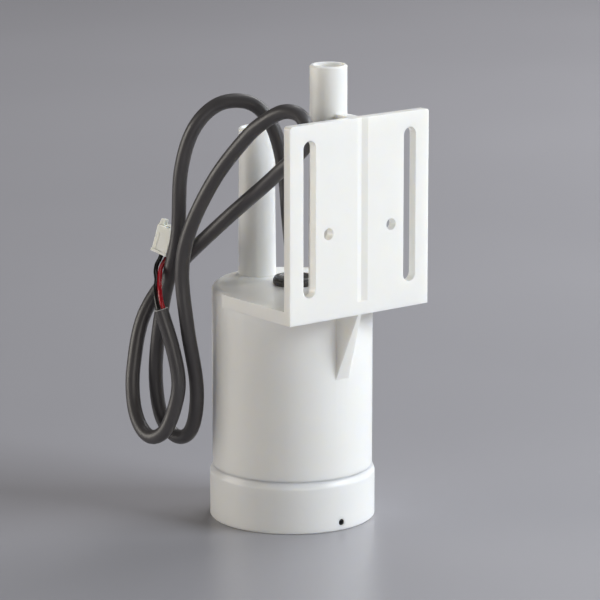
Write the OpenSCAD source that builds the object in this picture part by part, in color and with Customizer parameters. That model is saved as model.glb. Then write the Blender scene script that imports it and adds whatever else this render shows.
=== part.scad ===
// Submersible sump pump with a canned brushless motor, a slotted mounting bracket,
// a discharge riser, a vent riser and a looped two-core lead.
// Millimetres, +Z up. The origin is the centre of the inlet hole in the base plane.
// The bracket faces -Y.

/* [Casing] */
// Outer diameter of the casing barrel
body_d = 61; // [60:0.5:62]
// Height of the deck above the base
deck_z = 90; // [88:0.5:96]
// Thickness of the deck and of the shelf in front of it
deck_t = 5; // [4:0.5:6]
// Thickness of the barrel wall
wall = 2.5; // [2:0.5:3]

/* [Collar] */
// Outer diameter of the base collar
collar_d = 63; // [62.5:0.5:66]
// Height of the base collar
collar_h = 20; // [19:0.5:21]
// Bore of the water inlet
inlet_d = 13; // [10:0.5:14]

/* [Bracket] */
// Width of the bracket plate
plate_w = 65.5; // [60:0.5:70]
// Height of the bracket plate
plate_h = 74; // [70:0.5:78]
// Thickness of the bracket plate
plate_t = 3.6; // [3:0.1:4]
// Distance from the pump axis to the front of the plate
plate_reach = 40.5; // [39:0.5:42]
// Width of the two long slots
slot_w = 5.8; // [5:0.1:7]
// End-to-end length of the slots
slot_l = 58.5; // [50:0.5:60]
// Distance between the two slots
slot_pitch = 47.4; // [44:0.1:50]
// Diameter of the two round holes
hole_d = 4.4; // [3:0.1:5]
// Distance between the two round holes
hole_pitch = 29.6; // [26:0.1:32]

/* [Risers] */
// Distance of each riser from the pump axis
riser_y = 21.75; // [21.5:0.05:22]
// Height of the discharge riser's mouth above the base
tall_z = 176.5; // [165:0.5:190]
// Height of the vent riser's mouth above the base
short_z = 147; // [130:0.5:160]
// Outer diameter of the discharge riser at its mouth
tall_d = 14; // [13.5:0.1:14.2]
// Outer diameter of the vent riser at its mouth
short_d = 13.8; // [13.4:0.1:14]
// Bore of both risers
riser_bore = 11.4; // [10:0.2:11.6]

/* [Gland] */
// Diameter of the gland cap
gland_d = 15.8; // [14:0.2:16]
// Height of the gland cap above the deck
gland_h = 3; // [2:0.5:4]

/* [Lead] */
// Diameter of the lead
cord_d = 5.5; // [5:0.1:6]
// Diameter of each insulated core
core_d = 1.7; // [1.4:0.1:2]

/* [Motor] */
// Diameter of the fixed ceramic shaft
shaft_d = 3; // [2.8:0.1:3.2]
// Diameter of the rotor magnet
magnet_d = 18.6; // [18:0.2:18.8]
// Length of the rotor magnet
magnet_l = 20; // [16:1:22]
// Diameter of the impeller
impeller_d = 33; // [30:0.5:36]
// Number of impeller vanes
vanes = 6; // [5:1:7]

/* [Hidden] */

$fn = 96;
e = 0.01;            // overlap that keeps joined solids from sharing a face

white = "#eeeeea";
dark = "#3a3a3c";
black = "#1c1c1c";
steel = "#b8bcc0";
copper = "#b4632c";
resin_grey = "#4a4c50";
ceramic = "#f4efe2";
red = "#b41822";

// casing
body_r = body_d / 2;
inner_r = body_r - wall;
spigot_r = body_r - 1;
spigot_z = 6;                  // lower end of the spigot inside the collar
cavity_top = deck_z - deck_t;
rim_r = 1;                     // rounding of the deck's rim
slab_back = 0.8;               // rear edge of the shelf
plate_z = cavity_top;          // lower edge of the plate
plate_top = plate_z + plate_h;
plate_back = -plate_reach + plate_t;
groove_x = 1.25;               // shallow V down the plate
groove_w = 5;
groove_depth = 0.8;
slot_z = plate_z + 38.8;       // middle of the slots
hole_z = plate_z + 32.4;
web_t = 4;
gusset_z = 56;                 // lower tip of the rib under the shelf
gusset_w = 6.6;                // the rib's width on the barrel
gusset_edge_w = 1.4;           // and at its front edge
riser_draft = 0.4;             // growth of a riser's radius down to the deck
hose_l = 17;                   // straight end that a hose slides on
mouth_round = 0.5;
duct_y = 22.9;                 // water ducts inside the barrel
duct_r = 3.6;
duct_wall = 1.6;
bore_z = cavity_top + 1.5;      // lower end of the wide bores in the risers
boss_pcd_r = 24.2;             // screw bosses around the motor plate
boss_r = 4;
boss_h = 13;

// base and pump chamber, heights above the base plane
collar_r = collar_d / 2;
collar_bore_r = spigot_r + 0.3;
cover_t = spigot_z;
cover_r = collar_bore_r - 0.15;
inlet_l = 3.2;
strainer_r = 9.4;
strainer_t = 1.4;
support_z = inlet_l + strainer_t;
support_top = 8;
volute_top = 17;
volute_floor = 2;
chamber_r = 19.2;
plate2_t = 3;                  // motor plate
can_z = volute_top + plate2_t;
can_flange_t = 1.6;
screw_z = 3.2;                 // small screws through the collar
screw_turn = -92;              // angle of the first one about the pump axis
screw_r = 1.15;
seal_z = 12;
seal_r = 0.6;

// motor
shaft_r = shaft_d / 2;
can_in_r = 9.9;
can_out_r = 10.7;
can_top = 57;
can_cap = 1.6;
hub_r = 4;
hub_z = 15;
hub_top = 52;
bushing_l = 5;
bushing_r = 2.7;
impeller_z = 8.9;
shroud_t = 1.5;
magnet_z = 26;
stator_z = 29;
stator_l = 16;
stator_r = 17.3;
yoke_r = 14.5;
tooth_tip_r = 11;
tooth_w = 4;
teeth = 6;
insulator_t = 2;
winding = 2.2;
board_z = 61;
board_r = 17;
board_t = 1.6;
resin_top = 74;
resin_in_r = duct_y - duct_r - duct_wall + 0.1;

// gland and the end of the lead inside the casing
gland_x = 0;
gland_y = -1;
gland_top = deck_z + gland_h;
stem_r = 5;
stem_z = 81;
gland_bore_r = cord_d / 2 + 0.2;
tail_z = 76;
tail_top = gland_top - 0.3;
core_gap = 1.1;                // half the distance between the two cores

// Middle line of the lead, from the gland's top to the cut end of its sheath
lead_route = [
    [0, -1, 93], [-0.2, -1, 97.5], [-1.6, -1.1, 107], [-3, -1.4, 117], [-3.6, 0.3, 134],
    [-7, 3, 150.5],
    [-14, 7, 159.5], [-22.5, 15.5, 159], [-29.5, 22, 149.5], [-32.5, 26.5, 132.5],
    [-32.5, 29, 107], [-35, 35, 81], [-36, 38.5, 58.5], [-35.5, 38.5, 43],
    [-34.5, 35.5, 33.5], [-33.5, 28.5, 29.5], [-33, 21.5, 32.5], [-32.5, 18, 41],
    [-33, 17, 54], [-36.5, 17.5, 74.5], [-38.5, 18, 96.5], [-37.5, 14, 113.5],
    [-33, 4.5, 133.5], [-28, -8, 150], [-25.2, -15.7, 157], [-22.4, -23.3, 161.3],
    [-19.9, -29.4, 160.8], [-18.6, -32.8, 156], [-18.9, -32.6, 150.6],
    [-19.9, -28.4, 145.6], [-20.4, -20, 139.3], [-20.4, -10, 132],
    [-22.5, 16, 112.5], [-29, 37, 92], [-37.5, 44, 75], [-43, 43.5, 56],
    [-45, 41, 42.5], [-45.5, 36, 34], [-45, 29.5, 31], [-43.5, 23, 34.5],
    [-41.5, 19.5, 43.5], [-40.5, 18, 54], [-42, 19.5, 67], [-44.5, 23.5, 82]
];
red_route = [
    [-43.8, 23, 82.4], [-44, 23.7, 84.6], [-43.6, 25, 87.4], [-42.4, 27, 90],
    [-40.4, 29.6, 92.1], [-38.1, 32.4, 94.3], [-35.5, 34.6, 96], [-32.5, 36.6, 97.4],
    [-29.7, 38.8, 98.25]
];
black_route = [
    [-45.27, 24.15, 82.15], [-44.85, 25.6, 84.4], [-44, 27.3, 86.8], [-42.5, 29.3, 89.4],
    [-40.5, 31.6, 91.6], [-38.9, 34.3, 93.8], [-37.2, 35.8, 96.1], [-35.1, 36.7, 97.9],
    [-33.4, 37.9, 99.3]
];
connector_at = [-30.3, 37.6, 104.2];
connector_lean = [0, 15, -38]; // tilts the connector's own +Z
connector_yaw = 50;
connector_w = 8.2;
connector_d = 7.5;
connector_h = 10.5;
pin_pitch = 3.96;

// ---------- shared shapes ----------

// Ring with a rectangular section from z0 to z1
module ring(outer, inner, z0, z1) {
    translate([0, 0, z0])
    difference() {
        cylinder(r = outer, h = z1 - z0);
        translate([0, 0, -1]) cylinder(r = inner, h = z1 - z0 + 2);
    }
}

// Ring with a round section
module torus(major, minor, z) {
    translate([0, 0, z])
    rotate_extrude() translate([major, 0]) circle(r = minor, $fn = 24);
}

module at_ducts() {
    for (side = [-1, 1]) translate([0, side * duct_y, 0]) children();
}

module at_bosses() {
    for (i = [0:3]) rotate(45 + 90 * i) translate([boss_pcd_r, 0, 0]) children();
}

// Point on a smooth curve through b and c, with neighbours a and d
function smooth(a, b, c, d, t) =
    0.5 * (2 * b + (c - a) * t + (2 * a - 5 * b + 4 * c - d) * t * t
    + (3 * b - a - 3 * c + d) * t * t * t);

// The route with steps points to each of its spans
function refine(p, steps) =
    let (n = len(p), q = concat([2 * p[0] - p[1]], p, [2 * p[n - 1] - p[n - 2]]))
    concat(
        [for (i = [1:n - 1]) for (k = [0:steps - 1])
            smooth(q[i - 1], q[i], q[i + 1], q[i + 2], k / steps)],
        [p[n - 1]]);

function unit(v) = v / norm(v);
function along(p, i) = unit(p[min(i + 1, len(p) - 1)] - p[max(i - 1, 0)]);
// The part of v square to the direction t
function square_to(v, t) = unit(v - (v * t) * t);

// Round tube swept along points, as one polyhedron with flat ends
module tube(points, r, sides) {
    n = len(points);
    sides_of_rings = [for (i = 0, v = square_to([1, 0, 0], along(points, 0)); i < n;
        i = i + 1, v = i < n ? square_to(v, along(points, i)) : v) v];
    rings = [for (i = [0:n - 1])
        let (t = along(points, i), v = sides_of_rings[i], w = cross(t, v))
        for (k = [0:sides - 1])
            points[i] + r * (cos(360 * k / sides) * v + sin(360 * k / sides) * w)];
    quads = [for (i = [0:n - 2]) for (k = [0:sides - 1])
        let (m = (k + 1) % sides)
        [i * sides + k, (i + 1) * sides + k, (i + 1) * sides + m, i * sides + m]];
    first = [for (k = [0:sides - 1]) k];
    last = [for (k = [sides - 1:-1:0]) (n - 1) * sides + k];
    polyhedron(points = rings, faces = concat(quads, [first, last]), convexity = 8);
}

// ---------- casing ----------

// Riser with a straight hose end, a drafted foot and a rounded mouth
module riser(z_top, d) {
    r = d / 2;
    z_foot = deck_z - 1;
    rotate_extrude()
    difference() {
        polygon([
            [0, z_foot], [r + riser_draft, z_foot], [r, z_top - hose_l],
            [r, z_top - mouth_round], [r - mouth_round, z_top], [0, z_top]
        ]);
        // quarter round on the mouth, cut from a square corner
        translate([r - mouth_round, z_top - mouth_round])
        difference() {
            square(mouth_round * 2);
            circle(r = mouth_round, $fn = 32);
        }
    }
}

module barrel() {
    rotate_extrude() {
        translate([0, spigot_z]) square([spigot_r, collar_h - spigot_z + e]);
        translate([0, collar_h]) square([body_r, deck_z - rim_r - collar_h]);
        translate([0, deck_z - rim_r - e]) square([body_r - rim_r, rim_r + e]);
        translate([body_r - rim_r, deck_z - rim_r]) circle(r = rim_r, $fn = 32);
    }
}

// Shelf that carries the bracket plate
module shelf() {
    translate([-plate_w / 2, -plate_reach, cavity_top])
    cube([plate_w, plate_reach + slab_back, deck_t]);
}

// Upright plate with a shallow V down its front
module plate() {
    half = plate_w / 2;
    corner = 1.2;
    intersection() {
        translate([0, 0, plate_z])
        linear_extrude(plate_h)
        polygon([
            [-half, plate_back], [-half, -plate_reach],
            [groove_x - groove_w / 2, -plate_reach], [groove_x, -plate_reach + groove_depth],
            [groove_x + groove_w / 2, -plate_reach], [half, -plate_reach], [half, plate_back]
        ]);
        // rounded corners seen from the front
        translate([0, plate_back + 1, 0])
        rotate([90, 0, 0])
        linear_extrude(plate_t + 2) {
            translate([-half + corner, plate_z]) square([plate_w - 2 * corner, plate_h]);
            translate([-half, plate_z + corner]) square([plate_w, plate_h - 2 * corner]);
            for (x = [-1, 1]) for (z = [plate_z + corner, plate_top - corner])
                translate([x * (half - corner), z]) circle(r = corner, $fn = 32);
        }
    }
}

module plate_openings() {
    reach = (slot_l - slot_w) / 2;
    for (side = [-1, 1]) {
        translate([side * slot_pitch / 2, plate_back + 1, slot_z])
        rotate([90, 0, 0]) {
            for (z = [-reach, reach]) translate([0, z, 0])
                cylinder(d = slot_w, h = plate_t + 2);
            translate([-slot_w / 2, -reach, 0]) cube([slot_w, 2 * reach, plate_t + 2]);
        }
        translate([side * hole_pitch / 2, plate_back + 1, hole_z])
        rotate([90, 0, 0]) cylinder(d = hole_d, h = plate_t + 2);
    }
}

// Web behind the plate, from the shelf up to the plate's top
module web() {
    translate([-web_t / 2, plate_back - e, deck_z - 1])
    cube([web_t, -plate_back - riser_y + 1, plate_top - deck_z + 1]);
}

// Three-cornered rib under the shelf, thinner towards its front edge
module gusset() {
    foot = gusset_w / 2;
    edge = gusset_edge_w / 2;
    root_y = -body_r + 1;      // inside the barrel's wall
    top = cavity_top + e;
    polyhedron(
        points = [
            [-foot, root_y, gusset_z], [foot, root_y, gusset_z],
            [-foot, root_y, top], [foot, root_y, top],
            [-edge, -plate_reach, top], [edge, -plate_reach, top]
        ],
        faces = [[0, 1, 3, 2], [2, 3, 5, 4], [0, 4, 5, 1], [0, 2, 4], [1, 5, 3]]
    );
}

module riser_bores() {
    translate([0, -riser_y, bore_z]) cylinder(d = riser_bore, h = tall_z - bore_z + 1);
    translate([0, riser_y, bore_z]) cylinder(d = riser_bore, h = short_z - bore_z + 1);
}

// Hollow of the barrel, less the ducts and screw bosses moulded into it
module motor_room() {
    difference() {
        union() {
            translate([0, 0, spigot_z - 1]) cylinder(r = inner_r, h = cavity_top - spigot_z + 1);
            translate([gland_x, gland_y, cavity_top - 1])
            cylinder(r = stem_r, h = deck_t + 2);
        }
        at_ducts() translate([0, 0, can_z]) cylinder(r = duct_r + duct_wall, h = 70);
        at_bosses() translate([0, 0, can_z]) cylinder(r = boss_r, h = boss_h);
    }
}

module casing() {
    color(white)
    difference() {
        union() {
            barrel();
            shelf();
            plate();
            web();
            gusset();
            translate([0, -riser_y, 0]) riser(tall_z, tall_d);
            translate([0, riser_y, 0]) riser(short_z, short_d);
        }
        motor_room();
        plate_openings();
        riser_bores();
        at_ducts() translate([0, 0, can_z - 1])
            cylinder(r = duct_r, h = bore_z - can_z + 1 + e);
        at_bosses() translate([0, 0, can_z - 1]) cylinder(r = 1.2, h = boss_h - 1);
        torus_groove();
    }
}

// Groove for the collar's seal
module torus_groove() {
    ring(spigot_r + 1, collar_bore_r - 2 * seal_r, seal_z - seal_r, seal_z + seal_r);
}

// ---------- base ----------

module at_cover_screws() {
    for (i = [0:2]) rotate(screw_turn + 120 * i) translate([0, 0, screw_z]) rotate([0, 90, 0])
        children();
}

module collar() {
    shoulder_h = 3;            // the outside eases in over this height to meet the barrel
    shoulder_t = 0.9;
    steps = 8;
    color(white)
    difference() {
        rotate_extrude()
        polygon(concat(
            [[collar_bore_r, 0], [collar_r - 0.4, 0], [collar_r, 0.4]],
            [for (k = [0:steps]) [
                collar_r - shoulder_t * (1 - cos(180 * k / steps)) / 2,
                collar_h - shoulder_h * (1 - k / steps)
            ]],
            [[collar_bore_r, collar_h]]
        ));
        at_cover_screws() translate([0, 0, body_r - 3])
            cylinder(r = screw_r + 0.1, h = 6, $fn = 32);
    }
}

module collar_seal() {
    color(black) torus(collar_bore_r - seal_r, seal_r, seal_z);
}

module inlet_cover() {
    color(white)
    difference() {
        cylinder(r = cover_r, h = cover_t);
        translate([0, 0, -1]) cylinder(d = inlet_d, h = cover_t + 2);
        translate([0, 0, inlet_l]) cylinder(r = strainer_r + 0.1, h = cover_t);
        at_cover_screws() translate([0, 0, cover_r - 5]) cylinder(r = screw_r, h = 8, $fn = 32);
    }
}

// Three socket grub screws that hold the inlet cover in the collar
module cover_screws() {
    color(dark)
    at_cover_screws()
    difference() {
        translate([0, 0, cover_r - 4.8]) cylinder(r = screw_r, h = collar_r - cover_r + 4.6, $fn = 32);
        translate([0, 0, collar_r - 0.9]) cylinder(r = 0.65, h = 2, $fn = 6);
    }
}

module strainer() {
    color(white)
    difference() {
        translate([0, 0, inlet_l]) cylinder(r = strainer_r, h = strainer_t);
        for (i = [0:5]) rotate(60 * i) translate([2.1, 0, inlet_l - 1])
            cylinder(r = 0.7, h = strainer_t + 2, $fn = 24);
        for (i = [0:11]) rotate(30 * i + 15) translate([4.4, 0, inlet_l - 1])
            cylinder(r = 0.8, h = strainer_t + 2, $fn = 24);
    }
}

// Spider in the eye of the volute that carries the lower end of the shaft
module shaft_support() {
    color(white)
    difference() {
        union() {
            ring(strainer_r, 7.4, support_z, spigot_z);
            translate([0, 0, support_z]) cylinder(r = 2.6, h = support_top - support_z);
            for (i = [0:2]) rotate(120 * i)
                translate([0, -0.8, support_z]) cube([8, 1.6, spigot_z - support_z]);
        }
        translate([0, 0, support_top - 2]) cylinder(r = shaft_r, h = 3);
    }
}

module lower_thrust_washer() {
    color(ceramic) ring(2.6, shaft_r + 0.1, support_top, impeller_z - 0.1);
}

module upper_thrust_washer() {
    color(ceramic) ring(3, shaft_r + 0.1, hub_top + 0.1, can_top - 4);
}

// Spiral chamber around the impeller, with a way up to each duct
module volute() {
    color(white)
    difference() {
        translate([0, 0, spigot_z]) cylinder(r = inner_r - 0.2, h = volute_top - spigot_z);
        translate([0, 0, spigot_z - 1]) cylinder(r = 7.2, h = volute_floor + 2);
        translate([0, 0, spigot_z + volute_floor]) cylinder(r = chamber_r, h = volute_top);
        at_ducts() translate([0, 0, spigot_z + volute_floor]) cylinder(r = duct_r, h = volute_top);
        for (side = [-1, 1])
            translate([-duct_r, side > 0 ? chamber_r - 5 : -duct_y, spigot_z + volute_floor])
            cube([2 * duct_r, duct_y - chamber_r + 5, volute_top]);
        at_bosses() translate([0, 0, volute_top - 2.6]) cylinder(r = 2.7, h = 4);
    }
}

module motor_plate() {
    color(white)
    difference() {
        translate([0, 0, volute_top]) cylinder(r = inner_r - 0.2, h = plate2_t);
        translate([0, 0, volute_top - 1]) cylinder(r = 5.2, h = plate2_t + 2);
        at_ducts() translate([0, 0, volute_top - 1]) cylinder(r = duct_r, h = plate2_t + 2);
        at_bosses() translate([0, 0, volute_top - 1]) cylinder(r = 1.4, h = plate2_t + 2);
        ring(14.9, 13.1, can_z - 1.6, can_z + 1);
    }
}

module plate_screws() {
    color(steel)
    at_bosses()
    difference() {
        union() {
            translate([0, 0, volute_top - 1.6]) cylinder(r = 2.3, h = 1.6);
            translate([0, 0, volute_top - e]) cylinder(r = 1.2, h = 12);
        }
        translate([-0.3, -3, volute_top - 2]) cube([0.6, 6, 1]);
    }
}

module can_seal() {
    color(black) torus(14, 0.8, can_z - 0.8);
}

// ---------- motor ----------

// Closed can that keeps the water away from the stator
module isolation_can() {
    color("#c8ccd0")
    difference() {
        union() {
            ring(stator_r, can_in_r, can_z, can_z + can_flange_t);
            ring(can_out_r, can_in_r, can_z, can_top);
            translate([0, 0, can_top - e]) cylinder(r = can_out_r, h = can_cap);
            translate([0, 0, can_top - 4]) cylinder(r = 3, h = 4);
        }
        translate([0, 0, can_top - 5]) cylinder(r = shaft_r, h = 5);
    }
}

module shaft() {
    color(ceramic) translate([0, 0, support_top - 2]) cylinder(r = shaft_r, h = can_top - support_top + 2);
}

module rotor_hub() {
    color(black)
    difference() {
        translate([0, 0, hub_z]) cylinder(r = hub_r, h = hub_top - hub_z);
        translate([0, 0, hub_z - 1]) cylinder(r = shaft_r + 0.4, h = hub_top);
        translate([0, 0, hub_z - 1]) cylinder(r = bushing_r, h = bushing_l + 1);
        translate([0, 0, hub_top - bushing_l]) cylinder(r = bushing_r, h = bushing_l + 1);
    }
}

module rotor_bushings() {
    color(dark)
    for (z = [hub_z, hub_top - bushing_l]) ring(bushing_r, shaft_r + 0.05, z, z + bushing_l);
}

module rotor_magnet() {
    color("#5a5a60") ring(magnet_d / 2, hub_r, magnet_z, magnet_z + magnet_l);
}

// One backswept vane, an arc that starts inside the hub
module vane() {
    vane_t = 1.3;
    steps = 12;
    bend = impeller_d * 0.32;  // radius of the vane's hollow side
    turns = [for (k = [0:steps]) 18 + 72 * k / steps];
    hollow = [for (a = turns) [bend * sin(a), bend * cos(a) - bend]];
    back = [for (a = turns) [(bend + vane_t) * sin(a), (bend + vane_t) * cos(a) - bend]];
    lift = 0.3;                // the vanes stand this far above the hub's lower end
    translate([0, 0, impeller_z + lift])
    linear_extrude(hub_z - shroud_t - impeller_z)
    polygon(concat(hollow, [for (k = [steps:-1:0]) back[k]]));
}

module impeller() {
    color(dark)
    difference() {
        union() {
            for (i = [0:vanes - 1]) rotate(360 / vanes * i) vane();
            translate([0, 0, impeller_z]) cylinder(r = 4.6, h = hub_z - impeller_z);
            translate([0, 0, hub_z - shroud_t]) cylinder(d = impeller_d, h = shroud_t);
        }
        translate([0, 0, impeller_z - 1]) cylinder(r = shaft_r + 0.4, h = 10);
    }
}

// Section of the stator: a yoke with teeth that point at the can
module stator_section(grow) {
    difference() {
        circle(r = stator_r);
        circle(r = yoke_r - grow);
    }
    intersection() {
        difference() {
            circle(r = yoke_r + 0.5);
            circle(r = tooth_tip_r);
        }
        union() {
            for (i = [0:teeth - 1]) rotate(60 * i)
                translate([0, -tooth_w / 2 - grow]) square([yoke_r + 1, tooth_w + 2 * grow]);
        }
    }
}

module stator_core() {
    color(steel) translate([0, 0, stator_z]) linear_extrude(stator_l) stator_section(0);
}

module insulator(z) {
    translate([0, 0, z]) linear_extrude(insulator_t) stator_section(0.2);
}

module lower_insulator() {
    color(white) insulator(stator_z - insulator_t);
}

module upper_insulator() {
    z = stator_z + stator_l;
    post_r = 1;
    color(white) {
        insulator(z);
        for (i = [0:2]) rotate(120 * i + 90) translate([stator_r - 1.4, 0, z + insulator_t - e])
            cylinder(r = post_r, h = board_z - z - insulator_t + e, $fn = 24);
    }
}

// One winding: a square ring around each tooth
module coils() {
    hole_w = tooth_w + 0.4;
    hole_h = stator_l + 2 * insulator_t;
    color(copper)
    for (i = [0:teeth - 1]) rotate(60 * i)
    translate([11.5, 0, stator_z + stator_l / 2])
    difference() {
        translate([0, -hole_w / 2 - winding, -hole_h / 2 - winding])
        cube([1.9, hole_w + 2 * winding, hole_h + 2 * winding]);
        translate([-1, -hole_w / 2, -hole_h / 2]) cube([5, hole_w, hole_h]);
    }
}

module coil_pins() {
    z = stator_z + stator_l + insulator_t;
    color(steel)
    for (a = [30, 150, 250, 290]) rotate(a)
        translate([15.6, -0.3, z]) cube([0.6, 0.6, board_z + board_t + 1 - z]);
}

// Resin that fills the motor room around the stator, on both sides of the ducts
module potting_resin() {
    color(resin_grey)
    difference() {
        ring(inner_r, resin_in_r, can_z + can_flange_t, resin_top);
        at_ducts() translate([0, 0, can_z]) cylinder(r = duct_r + duct_wall, h = 70);
        at_bosses() translate([0, 0, can_z]) cylinder(r = boss_r, h = boss_h);
    }
}

module driver_board() {
    color("#1f5a3a")
    difference() {
        translate([0, 0, board_z]) cylinder(r = board_r, h = board_t);
        for (a = [30, 150, 250, 290]) rotate(a)
            translate([15.6, -0.3, board_z - 1]) cube([0.6, 0.6, board_t + 2]);
        for (side = [-1, 1]) translate([gland_x + side * core_gap, gland_y, board_z - 1])
            cylinder(r = core_d / 2, h = board_t + 2, $fn = 24);
    }
}

module driver_chip() {
    z = board_z + board_t;
    color(black) {
        translate([-1, -13, z]) cube([5, 4, 1.5]);
        for (i = [0:3]) for (side = [-1, 1])
            translate([-0.6 + 1.27 * i, side > 0 ? -9.1 : -13.9, z]) cube([0.4, 1, 0.8]);
    }
}

module capacitor() {
    color(dark) translate([5, 6, board_z + board_t]) {
        cylinder(r = 3.2, h = 7.5);
        translate([-3.4, -3.4, 0]) cube([6.8, 6.8, 0.8]);
    }
}

module hall_sensor() {
    color(black) translate([-2, 9, board_z - 1.5]) cube([4, 3, 1.5]);
}

// ---------- lead inside the casing ----------

module inner_leads() {
    color(red) for (side = [-1, 1])
        translate([gland_x + side * core_gap, gland_y, board_z])
        cylinder(r = core_d / 2, h = tail_z - board_z, $fn = 24);
}

module lead_tail() {
    color(dark) translate([gland_x, gland_y, tail_z]) cylinder(d = cord_d, h = tail_top - tail_z);
}

module lead_tie() {
    color(white) translate([gland_x, gland_y, 0]) {
        ring(cord_d / 2 + 1, cord_d / 2, 77.4, 79.6);
        translate([cord_d / 2 + 0.2, -1.6, 77]) cube([2.6, 3.2, 3]);
    }
}

module gland_locknut() {
    color(dark) translate([gland_x, gland_y, cavity_top - 3.2])
    difference() {
        cylinder(r = 7.4, h = 3.2, $fn = 6);
        translate([0, 0, -1]) cylinder(r = stem_r, h = 6);
    }
}

// Gland cap with grip notches, on a stem through the deck
module cable_gland() {
    notches = 24;
    r = gland_d / 2;
    color(dark) translate([gland_x, gland_y, 0])
    difference() {
        union() {
            translate([0, 0, stem_z]) cylinder(r = stem_r, h = deck_z - stem_z + e);
            translate([0, 0, deck_z]) rotate_extrude() polygon([
                [0, 0], [r, 0], [r, gland_h - 0.6], [r - 0.6, gland_h], [0, gland_h]
            ]);
        }
        translate([0, 0, stem_z - 1]) cylinder(r = gland_bore_r, h = 20);
        translate([0, 0, deck_z - 3]) cylinder(r = 4.3, h = 10);
        for (i = [0:notches - 1]) rotate(360 / notches * i)
            translate([r + 0.25, 0, deck_z + 0.7]) cylinder(r = 0.6, h = 4, $fn = 24);
    }
}

module gland_seal() {
    color(black) translate([gland_x, gland_y, 0])
    ring(4.3, cord_d / 2, deck_z - 3, gland_top - 0.5);
}

// ---------- lead outside the casing ----------

module lead() {
    color(dark) tube(refine(lead_route, 2), cord_d / 2, 10);
}

module red_core() {
    color(red) tube(refine(red_route, 2), core_d / 2, 8);
}

module black_core() {
    color(black) tube(refine(black_route, 2), core_d / 2, 8);
}

module at_connector() {
    translate(connector_at) rotate(connector_lean) rotate([0, 0, connector_yaw]) children();
}

module connector_housing() {
    w = connector_w;
    d = connector_d;
    h = connector_h;
    color("#d4d5cf")
    at_connector()
    difference() {
        union() {
            translate([-w / 2, -d / 2, -h / 2]) cube([w, d, h]);
            // latch tongue and its nub
            translate([-1.9, d / 2 - e, -h / 2 + 1]) cube([3.8, 0.9, h - 1]);
            translate([-1.9, d / 2 - 0.8, h / 2 - 2]) cube([3.8, 2, 3.6]);
        }
        for (side = [-1, 1]) translate([side * pin_pitch / 2 - 1.2, -1.3, -h / 2 - 1])
            cube([2.4, 2.6, h + 2]);
    }
}

module connector_terminals() {
    color(steel)
    at_connector()
    for (side = [-1, 1]) translate([side * pin_pitch / 2, 0, -connector_h / 2 + 1.8])
    difference() {
        translate([-1.1, -1.2, 0]) cube([2.2, 2.4, connector_h - 2.6]);
        translate([-0.8, -0.9, 3]) cube([1.6, 1.8, connector_h]);
    }
}

casing();
collar();
collar_seal();
inlet_cover();
cover_screws();
strainer();
shaft_support();
lower_thrust_washer();
volute();
impeller();
motor_plate();
plate_screws();
can_seal();
isolation_can();
shaft();
rotor_hub();
rotor_magnet();
rotor_bushings();
upper_thrust_washer();
stator_core();
lower_insulator();
upper_insulator();
coils();
coil_pins();
potting_resin();
driver_board();
driver_chip();
capacitor();
hall_sensor();
inner_leads();
lead_tail();
lead_tie();
gland_locknut();
cable_gland();
gland_seal();
lead();
red_core();
black_core();
connector_housing();
connector_terminals();
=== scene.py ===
import math

import bpy
import numpy as np
from mathutils import Matrix, Vector


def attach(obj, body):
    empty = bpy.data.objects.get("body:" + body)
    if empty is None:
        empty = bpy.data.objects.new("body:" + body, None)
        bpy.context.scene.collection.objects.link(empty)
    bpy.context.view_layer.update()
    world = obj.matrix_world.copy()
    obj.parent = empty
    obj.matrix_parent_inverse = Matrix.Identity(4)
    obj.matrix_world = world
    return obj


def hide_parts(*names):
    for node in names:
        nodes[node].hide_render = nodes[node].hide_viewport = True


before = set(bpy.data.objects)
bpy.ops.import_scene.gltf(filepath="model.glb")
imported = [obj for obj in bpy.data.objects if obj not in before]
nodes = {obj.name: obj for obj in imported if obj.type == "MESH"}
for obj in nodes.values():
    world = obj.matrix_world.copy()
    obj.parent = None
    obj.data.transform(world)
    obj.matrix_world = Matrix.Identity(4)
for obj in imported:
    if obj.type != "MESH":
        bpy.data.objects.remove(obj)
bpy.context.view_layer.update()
MM = 0.001

# ---------- camera ----------

AZIMUTH = math.radians(-38.269)
ELEVATION = math.radians(12.828)
DISTANCE = 1.4
SENSOR, LENS = 36, 221.566
# the point looked at, above the base and to the camera's right, in mm
LOOK_UP, LOOK_RIGHT = 83.395, 2.945
RIGHT = Vector((math.cos(AZIMUTH), math.sin(AZIMUTH), 0))
FRONT = Vector((math.sin(AZIMUTH), -math.cos(AZIMUTH), 0))
UP = Vector((0, 0, 1))
back = FRONT * math.cos(ELEVATION) + UP * math.sin(ELEVATION)

camera_data = bpy.data.cameras.new("camera")
camera_data.sensor_width = SENSOR
camera_data.lens = LENS
camera = bpy.data.objects.new("camera", camera_data)
bpy.context.scene.collection.objects.link(camera)
camera.location = UP * LOOK_UP * MM + RIGHT * LOOK_RIGHT * MM + back * DISTANCE
camera.rotation_euler = back.to_track_quat("Z", "Y").to_euler()
bpy.context.scene.camera = camera
bpy.context.scene.view_settings.view_transform = "Standard"

# ---------- making meshes ----------


def new_object(name, mesh):
    piece = bpy.data.objects.new(name, mesh)
    bpy.context.scene.collection.objects.link(piece)
    return piece


def from_lists(name, points, faces, smooth=True):
    mesh = bpy.data.meshes.new(name)
    mesh.from_pydata([tuple(p) for p in points], [], faces)
    mesh.validate()
    if smooth:
        mesh.shade_smooth()
    return new_object(name, mesh)


def settle(piece):
    """Applies the piece's modifiers to its mesh."""
    graph = bpy.context.evaluated_depsgraph_get()
    graph.update()
    mesh = bpy.data.meshes.new_from_object(piece.evaluated_get(graph))
    piece.modifiers.clear()
    piece.data = mesh


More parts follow.
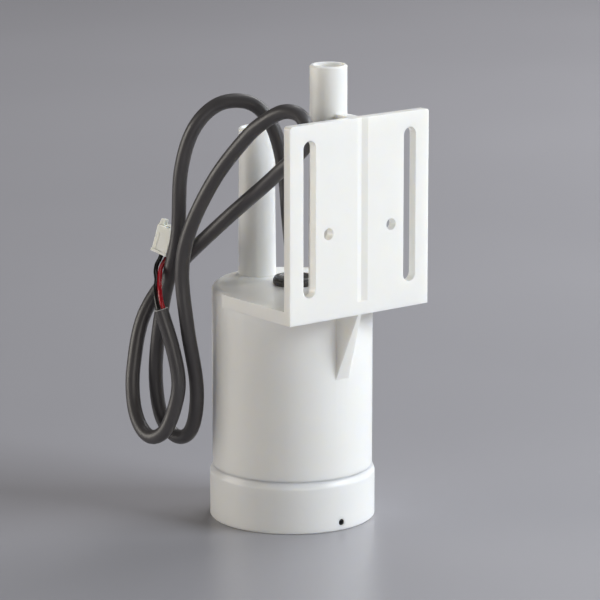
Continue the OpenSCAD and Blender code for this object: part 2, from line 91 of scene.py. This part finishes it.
def smooth_route(points, steps):
    """Catmull-Rom curve through the points, in metres, as the CAD draws it."""
    p = np.array(points, float) * MM
    p = np.vstack([2 * p[0] - p[1], p, 2 * p[-1] - p[-2]])
    made = []
    for i in range(1, len(p) - 2):
        a, b, c, d = p[i - 1:i + 3]
        for k in range(steps):
            t = k / steps
            made.append(0.5 * (2 * b + (c - a) * t + (2 * a - 5 * b + 4 * c - d) * t ** 2
                               + (3 * b - a - 3 * c + d) * t ** 3))
    made.append(p[-2])
    return np.array(made)


def unit(v):
    return v / np.linalg.norm(v)


def carried_frames(points):
    """Direction and two sideways directions at each point, carried along without twist."""
    n = len(points)
    ways = [unit(points[min(i + 1, n - 1)] - points[max(i - 1, 0)]) for i in range(n)]
    side = np.array([1.0, 0.0, 0.0])
    made = []
    for way in ways:
        side = unit(side - way * (side @ way))
        made.append((way, side, np.cross(way, side)))
    return made


def tube(name, points, rings, sides):
    """Closed tube: rings is a list of (index of a point, shift along, radius)."""
    frames = carried_frames(points)
    verts, faces = [], []
    for at, shift, radius in rings:
        way, side, other = frames[at]
        for k in range(sides):
            a = 2 * math.pi * k / sides
            verts.append(points[at] + way * shift
                         + radius * (math.cos(a) * side + math.sin(a) * other))
    for r in range(len(rings) - 1):
        for k in range(sides):
            m = (k + 1) % sides
            faces.append([r * sides + k, r * sides + m, (r + 1) * sides + m, (r + 1) * sides + k])
    last = (len(rings) - 1) * sides
    faces.append(list(range(sides))[::-1])
    faces.append(list(range(last, last + sides)))
    return from_lists(name, verts, faces)


# ---------- lead ----------

LEAD_ROUTE = [
    (0, -1, 93), (-0.2, -1, 97.5), (-1.6, -1.1, 107), (-3, -1.4, 117), (-3.6, 0.3, 134),
    (-7, 3, 150.5),
    (-14, 7, 159.5), (-22.5, 15.5, 159), (-29.5, 22, 149.5), (-32.5, 26.5, 132.5),
    (-32.5, 29, 107), (-35, 35, 81), (-36, 38.5, 58.5), (-35.5, 38.5, 43),
    (-34.5, 35.5, 33.5), (-33.5, 28.5, 29.5), (-33, 21.5, 32.5), (-32.5, 18, 41),
    (-33, 17, 54), (-36.5, 17.5, 74.5), (-38.5, 18, 96.5), (-37.5, 14, 113.5),
    (-33, 4.5, 133.5), (-28, -8, 150), (-25.2, -15.7, 157), (-22.4, -23.3, 161.3),
    (-19.9, -29.4, 160.8), (-18.6, -32.8, 156), (-18.9, -32.6, 150.6),
    (-19.9, -28.4, 145.6), (-20.4, -20, 139.3), (-20.4, -10, 132),
    (-22.5, 16, 112.5), (-29, 37, 92), (-37.5, 44, 75), (-43, 43.5, 56),
    (-45, 41, 42.5), (-45.5, 36, 34), (-45, 29.5, 31), (-43.5, 23, 34.5),
    (-41.5, 19.5, 43.5), (-40.5, 18, 54), (-42, 19.5, 67), (-44.5, 23.5, 82),
]
RED_ROUTE = [
    (-43.8, 23, 82.4), (-44, 23.7, 84.6), (-43.6, 25, 87.4), (-42.4, 27, 90),
    (-40.4, 29.6, 92.1), (-38.1, 32.4, 94.3), (-35.5, 34.6, 96), (-32.5, 36.6, 97.4),
    (-29.7, 38.8, 98.25),
]
BLACK_ROUTE = [
    (-45.27, 24.15, 82.15), (-44.85, 25.6, 84.4), (-44, 27.3, 86.8), (-42.5, 29.3, 89.4),
    (-40.5, 31.6, 91.6), (-38.9, 34.3, 93.8), (-37.2, 35.8, 96.1), (-35.1, 36.7, 97.9),
    (-33.4, 37.9, 99.3),
]
LEAD_R = 2.75 * MM
CORE_R = 0.85 * MM
LEAD_SIDES, CORE_SIDES = 28, 20
ROUTE_STEPS = 8
# how far the cores start inside the sheath, and the small chamfers of the tubes' ends
CORE_TUCK = 0.9 * MM
LEAD_CHAMFER, CORE_CHAMFER, CORE_END_CHAMFER = 0.1 * MM, 0.05 * MM, 0.08 * MM

lead_points = smooth_route(LEAD_ROUTE, ROUTE_STEPS)
last_point = len(lead_points) - 1
lead_rings = [(0, 0.0, LEAD_R - LEAD_CHAMFER)] + [(i, 0.0, LEAD_R) for i in range(last_point)]
# the cut end: a slightly burred edge, the sheath's wall and the hollow that the cores leave
lead_rings += [(last_point, shift * MM, radius * MM) for shift, radius in (
    (-0.30, 2.75), (-0.12, 2.74), (-0.02, 2.66), (0.0, 2.56), (0.0, 2.12), (-0.04, 2.04),
    (-0.14, 2.0), (-1.0, 1.96))]
lead = tube("lead_sheath", lead_points, lead_rings, LEAD_SIDES)
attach(lead, "body")
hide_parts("lead")

red_points = smooth_route(RED_ROUTE, ROUTE_STEPS)
black_points = smooth_route(BLACK_ROUTE, ROUTE_STEPS)
cores = []
for name, node, points in (("red_wire", "red_core", red_points),
                           ("black_wire", "black_core", black_points)):
    n = len(points) - 1
    rings = [(0, -CORE_TUCK, CORE_R - CORE_CHAMFER), (0, -CORE_TUCK + CORE_CHAMFER, CORE_R)]
    rings += [(i, 0.0, CORE_R) for i in range(n)] + [(n, 0.0, CORE_R - CORE_END_CHAMFER)]
    core = tube(name, points, rings, CORE_SIDES)
    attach(core, "body")
    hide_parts(node)
    cores.append(core)

# ---------- connector ----------

# points closer than this are one, faces flatter are merged, and edges sharper are rounded
WELD_GAP = 2e-6
FLAT_ANGLE, SHARP_ANGLE = math.radians(0.4), math.radians(30)

CONNECTOR_AT = (-30.3, 37.6, 104.2)
CONNECTOR_W, CONNECTOR_D, CONNECTOR_H = 8.2, 7.5, 10.5
CONNECTOR_TURN, CONNECTOR_TILT, CONNECTOR_YAW = -38, 15, 50
PIN_PITCH = 3.96


def connector_place():
    """The connector's own axes, as the CAD turns them."""
    turn = Matrix.Rotation(math.radians(CONNECTOR_TURN), 4, "Z")
    tilt = Matrix.Rotation(math.radians(CONNECTOR_TILT), 4, "Y")
    yaw = Matrix.Rotation(math.radians(CONNECTOR_YAW), 4, "Z")
    return Matrix.Translation(Vector(CONNECTOR_AT) * MM) @ (turn @ tilt) @ yaw


def block(x0, x1, y0, y1, z0, z1):
    """Closed box in millimetres, as a scratch object to cut or join with."""
    verts = [(x * MM, y * MM, z * MM) for x in (x0, x1) for y in (y0, y1) for z in (z0, z1)]
    faces = [(0, 1, 3, 2), (4, 6, 7, 5), (0, 4, 5, 1), (2, 3, 7, 6), (0, 2, 6, 4), (1, 5, 7, 3)]
    return from_lists("scratch", verts, faces, smooth=False)


def combine(piece, others, operation):
    """Joins the others to the piece, or cuts them from it, and removes them."""
    for other in others:
        step = piece.modifiers.new("combine", "BOOLEAN")
        step.operation = operation
        step.solver = "EXACT"
        step.object = other
        settle(piece)
        bpy.data.objects.remove(other)


def round_edges(piece, width, segments):
    """Joins points that meet, merges flat faces and rounds every sharp edge by width mm."""
    weld = piece.modifiers.new("weld", "WELD")
    weld.merge_threshold = WELD_GAP
    flat = piece.modifiers.new("flat", "DECIMATE")
    flat.decimate_type = "DISSOLVE"
    flat.angle_limit = FLAT_ANGLE
    bevel = piece.modifiers.new("round", "BEVEL")
    bevel.width = width * MM
    bevel.segments = segments
    bevel.limit_method = "ANGLE"
    bevel.angle_limit = SHARP_ANGLE
    bevel.harden_normals = True
    bevel.miter_outer = "MITER_ARC"


def tapered(x0, x1, y0, y1, z0, z1, inset):
    """A block whose top is drawn in by inset on the two x sides and on its far y side."""
    made = block(x0, x1, y0, y1, z0, z1)
    for point in made.data.vertices:
        if point.co.z > (z0 + z1) / 2 * MM:
            point.co.x -= math.copysign(inset * MM, point.co.x - (x0 + x1) / 2 * MM)
            if point.co.y > (y0 + y1) / 2 * MM:
                point.co.y -= inset * MM
    return made


w, d, h = CONNECTOR_W / 2, CONNECTOR_D / 2, CONNECTOR_H / 2
housing = block(-w, w, -d, d, -h, h)
housing.name = "connector_shell"
extras = [
    # the foot that the wires enter is a little wider
    block(-w - 0.25, w + 0.25, -d - 0.2, d + 0.2, -h, -h + 1.1),
    # latch tongue and its nub
    block(-1.7, 1.7, d - 0.05, d + 0.9, -h + 1, h),
    tapered(-2.6, 0.7, d - 1.1, d + 1.2, h - 1.6, h + 2.2, 0.6),
    # ridge in the middle of the face opposite the latch
    tapered(-0.7, 0.7, -d - 0.25, -d + 0.1, -h + 1, h - 1.2, 0.2),
]
combine(housing, extras, "UNION")
cuts = []
for side in (-1, 1):
    x = side * PIN_PITCH / 2
    cuts.append(block(x - 1.2, x + 1.2, -1.3, 1.3, -h - 1, h + 1))
    # mouth of each pocket, and a window for the terminal's barb
    cuts.append(tapered(x - 1.5, x + 1.5, -1.6, 1.6, -h - 0.4, -h + 0.4, 0.3))
    cuts.append(block(x - 0.6, x + 0.6, -d - 1, -1.2, -h + 2.6, -h + 4.6))
    # shallow panel down each narrow face
    cuts.append(block(side * w - 0.12, side * w + 0.12, -1.5, 1.9, -h + 1.1, h - 2.6))
combine(housing, cuts, "DIFFERENCE")
round_edges(housing, 0.2, 3)
settle(housing)
housing.data.transform(connector_place())
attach(housing, "body")
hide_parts("connector_housing")

# ---------- gland cap ----------

GRIPS = 44
GRIP_ROUNDNESS = 0.6
STEPS_PER_GRIP = 8
GLAND_AT = (0, -1)


def lathe(name, at, profile, segments):
    """Closed ring turned about +Z through at. profile rows are (r, z, grip depth) in mm."""
    verts, faces = [], []
    n = len(profile)
    for k in range(segments):
        a = 2 * math.pi * k / segments
        for r, z, grip in profile:
            # rounded grooves, with flat-topped ribs between them
            r -= grip * max(0.0, math.cos(GRIPS * a)) ** GRIP_ROUNDNESS
            verts.append(((at[0] + r * math.cos(a)) * MM, (at[1] + r * math.sin(a)) * MM, z * MM))
    for k in range(segments):
        m = (k + 1) % segments
        for i in range(n):
            j = (i + 1) % n
            faces.append([k * n + j, m * n + j, m * n + i, k * n + i])
    return from_lists(name, verts, faces)


gland_profile = [
    (4.32, 87.2, 0), (4.32, 92.3, 0), (4.45, 92.62, 0), (4.8, 92.72, 0), (5.3, 92.72, 0),
    (5.42, 92.84, 0), (5.55, 92.98, 0), (6.6, 93.0, 0), (7.15, 92.96, 0), (7.4, 92.84, 0),
    (7.5, 92.62, 0), (7.5, 92.46, 0), (7.42, 92.36, 0), (7.2, 92.32, 0), (7.2, 92.16, 0),
    (7.5, 92.1, 0.05), (7.78, 91.98, 0.16), (7.88, 91.8, 0.26), (7.9, 91.4, 0.28),
    (7.9, 90.9, 0.28), (7.88, 90.6, 0.26), (7.8, 90.4, 0.16), (7.72, 90.28, 0),
    (7.72, 90.02, 0), (5.0, 90.02, 0), (4.98, 89.9, 0), (4.98, 81.1, 0), (4.9, 81.0, 0),
    (3.0, 81.0, 0), (2.96, 81.1, 0), (2.96, 87.0, 0), (3.1, 87.1, 0),
]
gland_cap = lathe("gland_cap", GLAND_AT, gland_profile, GRIPS * STEPS_PER_GRIP)
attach(gland_cap, "body")
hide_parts("cable_gland")

# ---------- casing ----------

BODY_R, DECK_Z = 30.5, 90.0
# radius of the rounding, where it is full and where it has faded out
RIM_FULL, RIM_FADED = 2.4, 1.15
# shares of the way over which it fades in and out
FADE_IN, FADE_OUT = 0.12, 0.3
# the free rim runs from the back of the shelf to the foot of the rear riser
RIM_FROM, RIM_TO = math.radians(3.0), math.radians(72.0)


def rim_cutter(side, steps=48, corner=8):
    """What the rounding takes off the deck's rim on one side; it fades out at both ends."""
    verts, faces = [], []
    n = corner + 4
    for k in range(steps + 1):
        share = k / steps
        a = RIM_FROM + (RIM_TO - RIM_FROM) * share
        ease = min(share / FADE_IN, (1 - share) / FADE_OUT, 1.0)
        f = RIM_FADED + (RIM_FULL - RIM_FADED) * ease * ease * (3 - 2 * ease)
        ring = [(BODY_R - f + f * math.sin(t), DECK_Z - f + f * math.cos(t))
                for t in (math.pi / 2 * i / corner for i in range(corner + 1))]
        ring += [(BODY_R + 1, DECK_Z - f), (BODY_R + 1, DECK_Z + 1), (BODY_R - f, DECK_Z + 1)]
        verts += [(side * r * math.cos(a) * MM, r * math.sin(a) * MM, z * MM) for r, z in ring]
    for k in range(steps):
        for i in range(n):
            j = (i + 1) % n
            face = [k * n + i, (k + 1) * n + i, (k + 1) * n + j, k * n + j]
            faces.append(face if side > 0 else face[::-1])
    first, last = list(range(n)), [steps * n + i for i in range(n)]
    faces += [first, last[::-1]] if side > 0 else [first[::-1], last]
    return from_lists("scratch", verts, faces, smooth=False)


casing = new_object("casing_shell", nodes["casing"].data.copy())
casing.data.transform(nodes["casing"].matrix_world)
combine(casing, [rim_cutter(-1), rim_cutter(1)], "DIFFERENCE")
round_edges(casing, 0.6, 4)
weighted = casing.modifiers.new("weighted", "WEIGHTED_NORMAL")
weighted.weight = 100
weighted.keep_sharp = True
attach(casing, "body")
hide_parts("casing")

# ---------- finishes ----------

# the part of the noise's range that the shades, and the roughness, are spread over
SHADES_FROM, SHADES_TO = 0.35, 0.65
ROUGH_FROM, ROUGH_TO = 0.3, 0.7
BUMP_STRENGTH = 0.5


def finish(name, shades, rough, metal=0.0, mottle=90.0, grain=3000.0, depth=0.02,
           layers=None, **constants):
    """Two shades mottled by a broad noise that also spreads the roughness, with bump from a fine
    one.

    layers=(direction, pitch, share) adds fine parallel lines, pitch mm apart: "Z" up the axis,
    or "R" round it. In the renders a roughness of 0.25 to 0.31 gave hard-edged patches and
    0.29 to 0.34 doesn't, so what shows in the photo stays to one side of about 0.27."""
    made = bpy.data.materials.new(name)
    made.use_nodes = True
    tree = made.node_tree
    link = tree.links.new
    shader = tree.nodes["Principled BSDF"]
    for socket, value in {"Metallic": metal, **constants}.items():
        shader.inputs[socket].default_value = value
    coords = tree.nodes.new("ShaderNodeTexCoord").outputs["Object"]

    def noise(scale, detail):
        node = tree.nodes.new("ShaderNodeTexNoise")
        node.inputs["Scale"].default_value = scale
        node.inputs["Detail"].default_value = detail
        link(coords, node.inputs["Vector"])
        return node.outputs["Fac"]

    broad, fine = noise(mottle, 3.0), noise(grain, 2.0)
    ramp = tree.nodes.new("ShaderNodeValToRGB")
    ramp.color_ramp.elements[0].position = SHADES_FROM
    ramp.color_ramp.elements[1].position = SHADES_TO
    for element, shade in zip(ramp.color_ramp.elements, shades):
        element.color = (*shade, 1.0)
    link(broad, ramp.inputs["Fac"])
    link(ramp.outputs["Color"], shader.inputs["Base Color"])
    span = tree.nodes.new("ShaderNodeMapRange")
    span.inputs["From Min"].default_value = ROUGH_FROM
    span.inputs["From Max"].default_value = ROUGH_TO
    span.inputs["To Min"].default_value = rough[0]
    span.inputs["To Max"].default_value = rough[1]
    link(broad, span.inputs["Value"])
    link(span.outputs["Result"], shader.inputs["Roughness"])
    bump = tree.nodes.new("ShaderNodeBump")
    bump.inputs["Strength"].default_value = BUMP_STRENGTH
    bump.inputs["Distance"].default_value = depth * MM
    height = fine
    if layers:
        direction, pitch, share = layers
        if direction == "Z":
            split = tree.nodes.new("ShaderNodeSeparateXYZ")
            link(coords, split.inputs["Vector"])
            along = split.outputs["Z"]
        else:
            flat = tree.nodes.new("ShaderNodeVectorMath")
            flat.operation = "MULTIPLY"
            flat.inputs[1].default_value = (1, 1, 0)
            link(coords, flat.inputs[0])
            reach = tree.nodes.new("ShaderNodeVectorMath")
            reach.operation = "LENGTH"
            link(flat.outputs["Vector"], reach.inputs[0])
            along = reach.outputs["Value"]
        turn = tree.nodes.new("ShaderNodeMath")
        turn.operation = "MULTIPLY"
        turn.inputs[1].default_value = 2 * math.pi / (pitch * MM)
        link(along, turn.inputs[0])
        wave = tree.nodes.new("ShaderNodeMath")
        wave.operation = "SINE"
        link(turn.outputs[0], wave.inputs[0])
        joined = tree.nodes.new("ShaderNodeMath")
        joined.operation = "MULTIPLY_ADD"
        joined.inputs[1].default_value = share
        link(wave.outputs[0], joined.inputs[0])
        link(fine, joined.inputs[2])
        height = joined.outputs[0]
    link(height, bump.inputs["Height"])
    link(bump.outputs["Normal"], shader.inputs["Normal"])
    return made


def grey(v, warm=0.0):
    return (v * (1 + warm), v, v * (1 - warm))


FINISHES = {
    "white_plastic": finish(
        "white_plastic_finish", [(0.885, 0.88, 0.855), (0.90, 0.895, 0.87)], (0.29, 0.34),
        mottle=40, grain=2600, depth=0.004,
        **{"Subsurface Weight": 1.0, "Subsurface Radius": (1.0, 0.94, 0.82),
           "Subsurface Scale": 2.2 * MM}),
    "seal_rubber": finish("seal_rubber_finish", [grey(0.012), grey(0.02)], (0.55, 0.7),
                          grain=2500, depth=0.03),
    "black_steel": finish("black_steel_finish", [grey(0.018), grey(0.035)], (0.35, 0.5),
                          metal=0.6, mottle=900, depth=0.01),
    "stainless_steel": finish("stainless_finish", [grey(0.5), grey(0.62)], (0.25, 0.38),
                              metal=1.0, mottle=300, depth=0.01, layers=("Z", 0.12, 0.6)),
    "ceramic": finish("ceramic_finish", [(0.74, 0.70, 0.60), (0.80, 0.77, 0.68)],
                      (0.15, 0.25), mottle=400, depth=0.004),
    "dark_plastic": finish("dark_plastic_finish", [grey(0.040, 0.02), grey(0.058, 0.02)],
                           (0.28, 0.40), mottle=220, grain=3500, depth=0.02),
    "carbon": finish("carbon_finish", [grey(0.02), grey(0.035)], (0.35, 0.5), mottle=900,
                     depth=0.01),
    "ferrite": finish("ferrite_finish", [grey(0.05), grey(0.085)], (0.4, 0.6), mottle=1200,
                      depth=0.02, metal=0.3),
    "silicon_steel": finish("silicon_steel_finish", [grey(0.30), grey(0.42)], (0.35, 0.5),
                            metal=1.0, mottle=350, depth=0.06, layers=("Z", 0.5, 1.5)),
    "copper_wire": finish("copper_wire_finish", [(0.42, 0.13, 0.045), (0.55, 0.19, 0.07)],
                          (0.25, 0.38), metal=0.9, mottle=500, depth=0.1,
                          layers=("R", 0.4, 2.0)),
    "tinned_metal": finish("tinned_metal_finish", [grey(0.56), grey(0.66)], (0.22, 0.34),
                           metal=1.0, mottle=600, depth=0.008),
    "potting_resin": finish("potting_resin_finish", [grey(0.05), grey(0.075)], (0.3, 0.5),
                            mottle=120, depth=0.05),
    "circuit_board": finish("circuit_board_finish", [(0.012, 0.09, 0.04), (0.02, 0.13, 0.06)],
                            (0.3, 0.42), mottle=700, depth=0.03, layers=("R", 1.4, 0.8)),
    "chip_black": finish("chip_black_finish", [grey(0.016), grey(0.028)], (0.45, 0.6),
                         mottle=1500, depth=0.01),
    "core_red": finish("core_red_finish", [(0.44, 0.006, 0.016), (0.50, 0.009, 0.022)],
                       (0.21, 0.26), mottle=250, depth=0.002),
    "core_black": finish("core_black_finish", [grey(0.007), grey(0.011)], (0.21, 0.26),
                         mottle=250, depth=0.002),
    "lead_sheath": finish("lead_sheath_finish", [(0.070, 0.066, 0.070), (0.078, 0.074, 0.078)],
                          (0.33, 0.40), mottle=120, grain=2400, depth=0.02),
    "connector_nylon": finish(
        "connector_nylon_finish", [(0.80, 0.81, 0.76), (0.84, 0.85, 0.80)], (0.29, 0.35),
        mottle=300, depth=0.004,
        **{"Subsurface Weight": 0.9, "Subsurface Radius": (1.0, 0.95, 0.82),
           "Subsurface Scale": 0.9 * MM}),
}


def paint_end_highlight(material, at, way, shade, reach, within):
    """Painted highlight: lightens the colour of what lies past the plane reach before at, within
    a short distance of it.
    """
    tree = material.node_tree
    link = tree.links.new
    coords = tree.nodes.new("ShaderNodeTexCoord").outputs["Object"]
    away = tree.nodes.new("ShaderNodeVectorMath")
    away.operation = "SUBTRACT"
    away.inputs[1].default_value = tuple(at - way * reach)
    link(coords, away.inputs[0])
    along = tree.nodes.new("ShaderNodeVectorMath")
    along.operation = "DOT_PRODUCT"
    along.inputs[1].default_value = tuple(way)
    link(away.outputs["Vector"], along.inputs[0])
    share = tree.nodes.new("ShaderNodeMapRange")
    share.inputs["From Min"].default_value = 0
    share.inputs["From Max"].default_value = reach / 2
    link(along.outputs["Value"], share.inputs["Value"])
    far = tree.nodes.new("ShaderNodeVectorMath")
    far.operation = "LENGTH"
    link(away.outputs["Vector"], far.inputs[0])
    near = tree.nodes.new("ShaderNodeMath")
    near.operation = "LESS_THAN"
    near.inputs[1].default_value = within
    link(far.outputs["Value"], near.inputs[0])
    both = tree.nodes.new("ShaderNodeMath")
    both.operation = "MULTIPLY"
    link(share.outputs["Result"], both.inputs[0])
    link(near.outputs["Value"], both.inputs[1])
    # mixes the painted highlight's colour into the colour underneath
    mix = tree.nodes.new("ShaderNodeMix")
    mix.data_type = "RGBA"
    shader = tree.nodes["Principled BSDF"]
    colour = shader.inputs["Base Color"].links[0].from_socket
    link(both.outputs["Value"], mix.inputs["Factor"])
    link(colour, mix.inputs["A"])
    mix.inputs["B"].default_value = (*shade, 1.0)
    link(mix.outputs["Result"], shader.inputs["Base Color"])


# painted highlight, a pale ring on the sheath's cut end: how far back it starts, and far enough
# round its end to hold all of it
END_HIGHLIGHT_SHADE = grey(0.55)
END_HIGHLIGHT_REACH, END_HIGHLIGHT_WITHIN = 0.25 * MM, 3.1 * MM

lead_end = lead_points[last_point]
# the pale ring painted on the lead's cut end is a painted highlight, not the sheath's own colour
paint_end_highlight(FINISHES["lead_sheath"], lead_end, unit(lead_end - lead_points[last_point - 1]),
         END_HIGHLIGHT_SHADE, END_HIGHLIGHT_REACH, END_HIGHLIGHT_WITHIN)

for name, node in nodes.items():
    slot = node.data.materials[0].name.split(".")[0]
    for place in node.material_slots:
        place.material = FINISHES[slot]

for piece, slot in ((lead, "lead_sheath"), (cores[0], "core_red"), (cores[1], "core_black"),
                    (housing, "connector_nylon"), (gland_cap, "dark_plastic"),
                    (casing, "white_plastic")):
    piece.data.materials.clear()
    piece.data.materials.append(FINISHES[slot])

# ---------- stage ----------

FLOOR_SIZE = 9
WORLD_COLOUR, WORLD_STRENGTH = (1.0, 0.96, 0.90, 1), 0.06

bpy.ops.mesh.primitive_grid_add(x_subdivisions=4, y_subdivisions=4, size=FLOOR_SIZE)
floor = bpy.context.object
floor.name = "floor"
floor.data.materials.append(finish("floor_finish", [(0.345, 0.34, 0.368), (0.352, 0.347, 0.375)],
                                   (0.30, 0.34), mottle=3, grain=600, depth=0.01))


def softbox(name, right, front, up, size, energy, colour, target=(0, 0, 0.085)):
    """Rectangular light placed by the camera's own directions and aimed at target."""
    data = bpy.data.lights.new(name, "AREA")
    data.shape = "RECTANGLE"
    data.size, data.size_y = size
    data.energy = energy
    data.color = colour
    light = new_object(name, data)
    light.location = RIGHT * right + FRONT * front + UP * up
    light.rotation_euler = (light.location - Vector(target)).to_track_quat("Z", "Y").to_euler()


# a soft, slightly cool key from the right, weaker light from behind it and from above, warm
# fill from the left and the front, and a light for the backdrop; places in m from the axis
softbox("key", 1.35, 0.38, 0.84, (0.9, 0.6), 23.5, (0.905, 0.958, 1.0))
softbox("rear", 0.95, -0.95, 0.8, (0.9, 0.9), 9, (0.97, 0.985, 1.0))
softbox("front", 0.35, 1.38, 0.14, (0.8, 0.5), 4.6, (1.0, 0.95, 0.87))
softbox("left", -1.33, 0.05, 0.22, (0.9, 0.7), 9.6, (1.0, 0.955, 0.87))
softbox("top", 0.0, -0.3, 1.4, (1.0, 1.0), 3.0, (1.0, 1.0, 1.0))
softbox("backdrop", 0.5, -1.6, 1.3, (1.6, 0.8), 15.5, (1.0, 1.0, 1.0),
        target=tuple(FRONT * -1.7 + RIGHT * 0.1))

world = bpy.data.worlds.new("world")
world.use_nodes = True
background = world.node_tree.nodes["Background"]
background.inputs["Color"].default_value = WORLD_COLOUR
background.inputs["Strength"].default_value = WORLD_STRENGTH
bpy.context.scene.world = world
